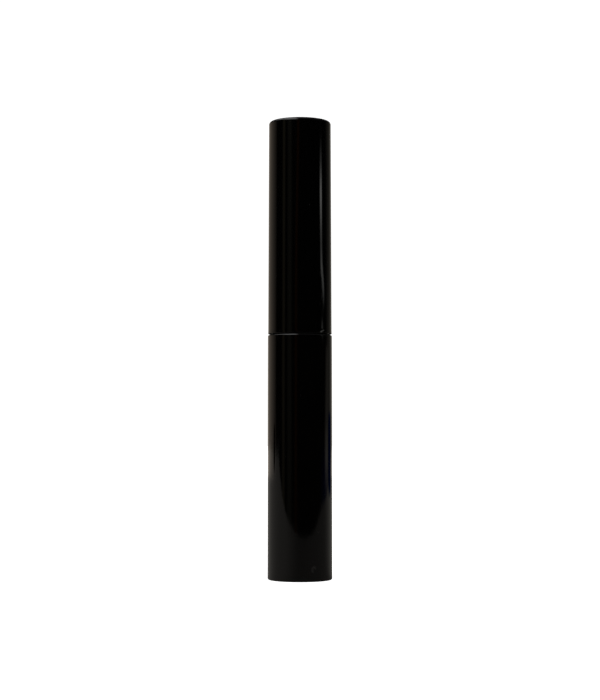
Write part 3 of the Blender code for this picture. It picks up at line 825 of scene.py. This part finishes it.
def wand_stem():
    """Moulded rod: beaded head, flange and a bored, tapered tip, with the mould's parting lines."""
    flange_low = CEILING_Z + SEAT_GAP
    flange_high = flange_low + STEM_FLANGE_THICKNESS
    bead = STEM_HEAD_RADIUS + SOCKET_GROOVE_DEPTH
    edge = 0.0003
    flash_height, flash_half_width = 0.000015, 0.00015
    profile = [
        (0.0, STEM_HEAD_TOP_Z),
        (STEM_HEAD_RADIUS - edge, STEM_HEAD_TOP_Z),
        (STEM_HEAD_RADIUS, STEM_HEAD_TOP_Z - edge),
        (STEM_HEAD_RADIUS, SOCKET_GROOVE_Z + edge),
        (bead, SOCKET_GROOVE_Z + 0.5 * SIDE_GAP),
        (bead, SOCKET_GROOVE_Z - 0.5 * SIDE_GAP),
        (STEM_HEAD_RADIUS, SOCKET_GROOVE_Z - edge),
        (STEM_HEAD_RADIUS, flange_high),
        (STEM_FLANGE_RADIUS, flange_high),
        (STEM_FLANGE_RADIUS, flange_low),
        (STEM_RADIUS + edge, flange_low),
        (STEM_RADIUS, flange_low - edge),
        (STEM_RADIUS, STEM_TIP_Z + STEM_TIP_TAPER),
        (STEM_RADIUS - edge, STEM_TIP_Z + STEM_TIP_EDGE),
        (STEM_RADIUS - 2 * edge, STEM_TIP_Z),
        (STEM_TIP_BORE_RADIUS, STEM_TIP_Z),
        (STEM_TIP_BORE_RADIUS, STEM_TIP_Z + STEM_TIP_BORE_DEPTH),
        (0.0, STEM_TIP_Z + STEM_TIP_BORE_DEPTH),
    ]

    def parted(angle, r, z):
        off = abs((angle + math.pi / 2) % math.pi - math.pi / 2) * r
        if r > STEM_RADIUS - 0.00001 and z < flange_low:
            r += flash_height * smooth(1 - off / flash_half_width)
        return r, z

    return turned("wand_stem", held(eased(profile, False, 0.0001)), segments=SLIM, shape=parted)


def twisted_wire():
    """One wire folded in two at the top and twisted, so both cut ends are at the brush's tip."""
    steps_per_turn = 16
    fold_z = WIRE_TOP_Z - 2 * STRAND_RADIUS
    turns = (fold_z - WIRE_TIP_Z) / TWIST_PITCH
    steps = round(turns * steps_per_turn)

    def strand(side):
        points = []
        for step in range(steps + 1):
            angle = TAU * turns * step / steps + side * math.pi
            z = WIRE_TIP_Z + (fold_z - WIRE_TIP_Z) * step / steps
            points.append(Vector((math.cos(angle), math.sin(angle), 0.0)) * STRAND_RADIUS)
            points[-1].z = z
        return points

    rising, falling = strand(0), strand(1)
    across = rising[-1] - Vector((0.0, 0.0, fold_z))
    bend = []
    bend_steps = 8
    for step in range(1, bend_steps):
        angle = math.pi * step / bend_steps
        lift = Vector((0.0, 0.0, fold_z + STRAND_RADIUS * math.sin(angle)))
        bend.append(across * math.cos(angle) + lift)
    route = rising + bend + falling[::-1]
    curve = bpy.data.curves.new("twisted_wire", "CURVE")
    curve.dimensions = "3D"
    curve.bevel_depth = 0.96 * STRAND_RADIUS
    curve.bevel_resolution = 3
    curve.use_fill_caps = True
    spline = curve.splines.new("POLY")
    spline.points.add(len(route) - 1)
    for point, place in zip(spline.points, route):
        point.co = (*place, 1.0)
    drawn = bpy.data.objects.new("twisted_wire_route", curve)
    bpy.context.scene.collection.objects.link(drawn)
    drawn_now = drawn.evaluated_get(bpy.context.evaluated_depsgraph_get())
    bm = bmesh.new()
    bm.from_mesh(drawn_now.to_mesh())
    bmesh.ops.remove_doubles(bm, verts=bm.verts, dist=0.000001)
    bpy.data.objects.remove(drawn)
    return finish_mesh("twisted_wire", bm)


def brush_reach(z):
    """Radius of the brush's outline at a height: full in the middle, slimmer at both ends."""
    tip_taper, root_taper = 0.0085, 0.0040
    to_tip = smooth((z - bottom("bristles")) / tip_taper)
    to_root = smooth((top("bristles") - z) / root_taper)
    tip_side = BRISTLE_TIP_RADIUS + (BRISTLE_RADIUS - BRISTLE_TIP_RADIUS) * to_tip
    root_side = BRISTLE_ROOT_RADIUS + (BRISTLE_RADIUS - BRISTLE_ROOT_RADIUS) * to_root
    return min(tip_side, root_side)


def fibre(bm, start, end, bow, radius):
    """One tapering, slightly bowed fibre from the wire to the brush's outline."""
    sides, spans = 5, 5
    along = (end - start).normalized()
    side_way = along.cross(Vector((0.0, 0.0, 1.0))).normalized()
    up_way = side_way.cross(along)
    rings = []
    for span in range(spans + 1):
        share = span / spans
        centre = start.lerp(end, share) + bow * (4 * share * (1 - share))
        width = radius * (1.0 - 0.55 * share ** 3)
        ring = []
        for side in range(sides):
            angle = TAU * side / sides
            way = side_way * math.cos(angle) + up_way * math.sin(angle)
            ring.append(bm.verts.new(centre + way * width))
        rings.append(ring)
    for inner, outer in zip(rings, rings[1:]):
        bridge(bm, inner, outer)
    bm.faces.new(rings[0])
    bm.faces.new(rings[-1])


def bristle_fibres():
    """Fibres gripped between the wire's strands, so they fan out in two spiral rows."""
    draws = random.Random(SEED)
    bm = bmesh.new()
    end_gap, root = 0.00012, 0.00008
    low = bottom("bristles") + end_gap
    high = top("bristles") - end_gap
    turns_per_metre = 1 / TWIST_PITCH
    count = 1150
    spread, tilt_spread, most_tilt = 0.16, 0.00018, 0.0004
    for number in range(count):
        z = low + (high - low) * (number + draws.random()) / count
        across = TAU * (z - WIRE_TIP_Z) * turns_per_metre + math.pi / 2
        for side in (0.0, math.pi):
            angle = across + side + draws.gauss(0.0, spread)
            outward = Vector((math.cos(angle), math.sin(angle), 0.0))
            sideways = Vector((-outward.y, outward.x, 0.0))
            length = brush_reach(z) * draws.uniform(0.93, 1.0)
            tilt = max(-most_tilt, min(most_tilt, draws.gauss(0.0, tilt_spread)))
            tip_z = max(low, min(high, z + tilt))
            start = outward * root + Vector((0.0, 0.0, z))
            end = outward * length + Vector((0.0, 0.0, tip_z))
            bow = sideways * draws.uniform(-0.00012, 0.00022)
            fibre(bm, start, end, bow, draws.uniform(0.000034, 0.000045))
    return finish_mesh("bristle_fibres", bm)


def add_piece(piece, material, body, node):
    piece.data.materials.append(material)
    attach(piece, body)
    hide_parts(node)


def build_object():
    black_bottle = gloss_black(
        "bottle_gloss_black", 0.0, SHOULDER_Z - SEAT_GAP, SHOULDER_Z + 6 * SEAT_GAP, scuff
    )
    black_cap = gloss_black("cap_gloss_black", 0.7, 0.0, CAP_RIM_Z + SEAT_GAP)
    orifice_z = bottom("wiper")
    wiper_white = natural_plastic("wiper_ldpe", orifice_z + 0.0085, orifice_z + 0.0015)
    cap_white = natural_plastic("inner_cap_pp", CEILING_Z - 0.0030, CEILING_Z + 0.0016)
    add_piece(bottle_shell(), black_bottle, "bottle", "bottle")
    add_piece(wiper_funnel(), wiper_white, "bottle", "wiper")
    add_piece(formula_fill(), wet_formula("formula"), "bottle", "mascara_bulk")
    add_piece(shade_label(), label_paper("label"), "bottle", "base_label")
    add_piece(seal_washer(), foam("washer_foam"), "liner", "cap_liner")
    add_piece(steel_slug(), turned_steel("slug_steel"), "weight", "cap_weight")
    add_piece(cap_shell(), black_cap, "wand", "overcap")
    add_piece(inner_cap_moulding(), cap_white, "wand", "inner_cap")
    add_piece(wand_stem(), satin_black("stem_plastic"), "wand", "stem")
    add_piece(twisted_wire(), drawn_steel("wire"), "wand", "brush_wire")
    add_piece(bristle_fibres(), nylon_fibre("fibre"), "wand", "bristles")


# ---------------------------------------------------------------- camera, light and floor

CAMERA_DISTANCE = 0.431
CAMERA_HEIGHT = 0.0381
AIM_X = 0.000025
AIM_Z = TOP_Z / 2 - 0.00018
LENS_MM = 85.4


def add_camera():
    """Level with the lower third of the tube and tipped up a little to its middle."""
    data = bpy.data.cameras.new("photo_camera")
    data.lens = LENS_MM
    data.sensor_width = 36.0
    data.clip_start = 0.01
    data.clip_end = 20.0
    camera = bpy.data.objects.new("photo_camera", data)
    camera.location = (0.0, -CAMERA_DISTANCE, CAMERA_HEIGHT)
    aim = Vector((AIM_X, 0.0, AIM_Z)) - camera.location
    camera.rotation_euler = aim.to_track_quat("-Z", "Y").to_euler()
    bpy.context.scene.collection.objects.link(camera)
    bpy.context.scene.camera = camera


def stage_object(name, bm, material):
    mesh = bpy.data.meshes.new(name)
    bm.to_mesh(mesh)
    bm.free()
    mesh.materials.append(material)
    made = bpy.data.objects.new(name, mesh)
    bpy.context.scene.collection.objects.link(made)
    return made


def seen_only_in_gloss(obj):
    obj.visible_camera = False
    obj.visible_diffuse = False
    obj.visible_transmission = False
    obj.visible_volume_scatter = False
    obj.visible_shadow = False


def stage_material(name):
    """An empty node material, the tools for its nodes, and the input for its surface."""
    material = bpy.data.materials.new(name)
    material.use_nodes = True
    nodes = material.node_tree.nodes
    nodes.remove(nodes["Principled BSDF"])
    return material, Nodes(material.node_tree), nodes["Material Output"].inputs["Surface"]


def glow_material(name, radiance, tint, stops, low, high, cover):
    """Light that fades to a card's edges and follows stops up it if there are any.

    A cover card is even up to a soft edge and hides what is behind it; any other hides nothing.
    """
    material, nodes, surface = stage_material(name)
    on_card = nodes.parts(nodes.node("ShaderNodeUVMap").outputs[0])
    if stops:
        place = nodes.parts(nodes.node("ShaderNodeNewGeometry").outputs["Position"])
        upward = nodes.ramp(place["Z"], stops, low, high)
    else:
        upward = nodes.hump(on_card["Y"])
    both = nodes.maths("MULTIPLY", nodes.hump(on_card["X"]), upward)
    clear = nodes.node("ShaderNodeBsdfTransparent").outputs[0]
    strength = radiance if cover else nodes.maths("MULTIPLY", both, radiance)
    glow = nodes.node("ShaderNodeEmission", {"Color": (*tint, 1.0), "Strength": strength})
    if cover:
        share = nodes.maths("MULTIPLY", both, 4.0, use_clamp=True)
        joined = nodes.node("ShaderNodeMixShader", {0: share, 1: clear, 2: glow.outputs[0]})
    else:
        joined = nodes.node("ShaderNodeAddShader", {0: glow.outputs[0], 1: clear})
    nodes.tree.links.new(joined.outputs[0], surface)
    return material


CARD_DISTANCE = 1.0


def glow_card(name, bearings, width, low, high, radiance, tint, stops=None, cover=0.0):
    """A curved upright card, as far off as the others or at the distance of cover.

    Bearings are degrees from straight in front to the right: one, or (height, bearing) pairs
    for a card that leans.
    """
    distance, columns = cover or CARD_DISTANCE, 24
    if not isinstance(bearings, tuple):
        bearings = ((low, bearings), (high, bearings))
    bm = bmesh.new()
    uv = bm.loops.layers.uv.new("card")
    rows = []
    for z, bearing in bearings:
        row = []
        for column in range(columns + 1):
            angle = math.radians(bearing + width * (column / columns - 0.5))
            row.append(bm.verts.new((distance * math.sin(angle), -distance * math.cos(angle), z)))
        rows.append(row)
    for lower, upper in zip(rows, rows[1:]):
        for column in range(columns):
            face = bm.faces.new(
                (lower[column], lower[column + 1], upper[column + 1], upper[column])
            )
            for loop in face.loops:
                place = loop.vert.co
                at = column + (loop.vert in (lower[column + 1], upper[column + 1]))
                loop[uv].uv = (at / columns, (place.z - low) / (high - low))
    material = glow_material(name, radiance, tint, stops, low, high, cover)
    seen_only_in_gloss(stage_object(name, bm, material))


def flat_shape(corners):
    bm = bmesh.new()
    bm.faces.new([bm.verts.new((x, y, 0.0)) for x, y in corners])
    return bm


# the pale floor: grey, own light, half width, and how far it lies below the base, so that
# their faces don't share a plane
FLOOR_GREY = 0.80
FLOOR_LIFT = 0.9
FLOOR_HALF_WIDTH = 4.0
FLOOR_GAP = 0.00002
# outline of the mirrored floor, metres, and its brightness by bearing from straight in front
MIRRORED_FLOOR = (
    (-2.6, -0.36),
    (-0.12, -0.23),
    (0.30, -0.12),
    (0.45, -0.05),
    (0.90, 0.95),
    (1.3, 3.0),
    (-3.0, 3.0),
)
FLOOR_BY_BEARING = (
    (-180, 0.40),
    (-120, 0.25),
    (-60, 0.20),
    (0, 0.08),
    (90, 0.10),
    (130, 0.20),
    (180, 0.40),
)
# brightness up the panels, the strip and the low band, by height in metres
PANEL_BY_HEIGHT = ((-0.3, 1.0), (0.10, 1.0), (0.17, 0.85), (0.34, 0.85), (0.52, 0.1), (1.4, 0.0))
STRIP_BY_HEIGHT = (
    (0.145, 0.0),
    (0.180, 0.5),
    (0.205, 0.25),
    (0.250, 1.0),
    (0.275, 0.2),
    (0.295, 0.0),
)
BAND_BY_HEIGHT = (
    (-0.02, 0.0),
    (0.004, 1.2),
    (0.015, 2.0),
    (0.03, 1.6),
    (0.05, 0.8),
    (0.105, 0.68),
    (0.118, 0.0),
)
# brightness of the soft box high on the left, by the upward, the rightward and the rearward
# part of a direction
SKY_RADIANCE = 1.9
SKY_BY_HEIGHT = ((0.30, 0.0), (0.60, 1.0), (1.0, 1.0))
SKY_BY_SIDE = ((-0.80, 0.0), (-0.62, 1.0), (-0.26, 1.0), (-0.04, 0.0))
SKY_BY_DEPTH = ((0.20, 1.0), (0.60, 0.0))
# where the leaning cards stand: height in metres and bearing
BROWN_LEAN = ((-0.3, -14.8), (0.16, -14.0), (0.215, -12.5), (0.30, -6.5), (1.2, -6.5))
STRIP_LEAN = ((0.145, 97), (0.165, 95), (0.185, 86), (0.20, 84.5), (0.25, 83.5), (0.295, 83.5))
BAND_LEAN = ((-0.02, 109), (0.05, 109), (0.09, 112), (0.118, 112))


def add_floor():
    """A pale floor for the eye, and a dimmer one of its own outline for the gloss to mirror."""
    material, nodes, surface = stage_material("floor_pale")
    pale = nodes.node("ShaderNodeBsdfDiffuse", {"Color": (*[FLOOR_GREY] * 3, 1.0)})
    lift = nodes.node("ShaderNodeEmission", {"Strength": FLOOR_LIFT})
    both = nodes.node("ShaderNodeAddShader", {0: pale.outputs[0], 1: lift.outputs[0]})
    nodes.tree.links.new(both.outputs[0], surface)
    far = FLOOR_HALF_WIDTH
    corners = ((-far, -far), (far, -far), (far, far), (-far, far))
    floor = stage_object("floor", flat_shape(corners), material)
    floor.location.z = -FLOOR_GAP
    floor.visible_glossy = False

    material, nodes, surface = stage_material("floor_mirrored")
    place = nodes.parts(nodes.node("ShaderNodeNewGeometry").outputs["Position"])
    forward = nodes.maths("MULTIPLY", place["Y"], -1.0)
    bearing = nodes.maths("DEGREES", nodes.maths("ARCTAN2", place["X"], forward))
    level = nodes.ramp(bearing, FLOOR_BY_BEARING, -180, 180)
    tint = (1.0, 0.95, 0.87, 1.0)
    glow = nodes.node("ShaderNodeEmission", {"Color": tint, "Strength": level})
    nodes.tree.links.new(glow.outputs[0], surface)
    seen_only_in_gloss(stage_object("floor_mirrored", flat_shape(MIRRORED_FLOOR), material))


def add_cards():
    """Soft panels round the tube, which its gloss shows as upright bands.

    Each line gives a bearing and a width in degrees, a foot and a top in metres, and a radiance.
    """
    warm, soft, plain = (1, 0.84, 0.68), (1, 0.92, 0.78), (1, 1, 0.96)
    amber, olive, brown, blue = (1, 0.88, 0.58), (1, 0.97, 0.74), (1, 0.30, 0.03), (0, 0.14, 1)
    glow_card("panel_left_rear", -142, 100, -0.3, 1.4, 0.365, warm, PANEL_BY_HEIGHT)
    glow_card("panel_rear", 176, 76, -0.3, 1.4, 0.24, soft, PANEL_BY_HEIGHT)
    glow_card("panel_right_rear", 152, 92, -0.3, 1.4, 0.10, soft, PANEL_BY_HEIGHT)
    glow_card("band_left", -61, 15, -0.3, 1.2, 0.100, amber)
    glow_card("band_front_left", -38, 22, -0.3, 1.2, 0.058, olive)
    glow_card("band_front", BROWN_LEAN, 12, -0.3, 1.2, 0.060, brown)
    glow_card("strip_right", STRIP_LEAN, 12, 0.145, 0.295, 1.6, plain, STRIP_BY_HEIGHT)
    glow_card("glint_right", 88.5, 12, 0.1215, 0.139, 0.30, plain)
    glow_card("band_right", BAND_LEAN, 23, -0.02, 0.118, 0.10, soft, BAND_BY_HEIGHT)
    glow_card("blue_right", 101, 50, -0.045, 0.03, 0.035, blue)
    glow_card("shade_right", 133, 25, -0.002, 0.052, 0.04, blue, cover=0.58)
    glow_card("shade_left", -104, 9, 0.007, 0.046, 0.006, brown, cover=0.9)


# the soft box above and to the left: its direction, distance, width and power
KEY_WAY = Vector((-0.42, -0.12, 0.90)).normalized()
KEY_DISTANCE = 0.55
KEY_WIDTH = 0.26
KEY_WATTS = 0.62


def add_key_light():
    data = bpy.data.lights.new("key", "AREA")
    data.shape = "SQUARE"
    data.size = KEY_WIDTH
    data.energy = KEY_WATTS
    key = bpy.data.objects.new("key", data)
    key.location = KEY_WAY * KEY_DISTANCE + Vector((0.0, 0.0, TOP_Z / 2))
    key.rotation_euler = KEY_WAY.to_track_quat("Z", "Y").to_euler()
    key.visible_camera = False
    key.visible_glossy = False
    bpy.context.scene.collection.objects.link(key)


# the world's brightness to the eye and to matt surfaces, and overhead to gloss
SEEN_LEVEL = 1.1
MATT_LEVEL = 0.62
OVERHEAD_LEVEL = 0.14


def add_world():
    """White to the eye, soft to matt surfaces, and dark to gloss except high on the left."""
    world = bpy.data.worlds.new("studio")
    world.use_nodes = True
    bpy.context.scene.world = world
    nodes = Nodes(world.node_tree)
    path = nodes.node("ShaderNodeLightPath").outputs
    way = nodes.parts(nodes.node("ShaderNodeTexCoord").outputs["Generated"])
    overhead = nodes.node(
        "ShaderNodeMapRange",
        {0: way["Z"], 1: 0.25, 2: 1.0, 3: 0.0, 4: OVERHEAD_LEVEL},
        interpolation_type="SMOOTHSTEP",
    )
    height = nodes.ramp(way["Z"], SKY_BY_HEIGHT, -1.0, 1.0)
    side = nodes.ramp(way["X"], SKY_BY_SIDE, -1.0, 1.0)
    depth = nodes.ramp(way["Y"], SKY_BY_DEPTH, -1.0, 1.0)
    placed = nodes.maths("MULTIPLY", nodes.maths("MULTIPLY", height, side), depth)
    panel = nodes.maths("MULTIPLY", placed, SKY_RADIANCE)
    gloss = nodes.maths("ADD", overhead.outputs[0], panel)
    total = 0.0
    for ray, level in (
        ("Is Camera Ray", SEEN_LEVEL),
        ("Is Diffuse Ray", MATT_LEVEL),
        ("Is Glossy Ray", gloss),
    ):
        total = nodes.maths("MULTIPLY_ADD", path[ray], level, total)
    background = world.node_tree.nodes["Background"]
    background.inputs["Color"].default_value = (1.0, 1.0, 1.0, 1.0)
    nodes.tree.links.new(total, background.inputs["Strength"])


add_camera()
build_object()
add_floor()
add_cards()
add_key_light()
add_world()
bpy.context.scene.view_settings.view_transform = "Standard"
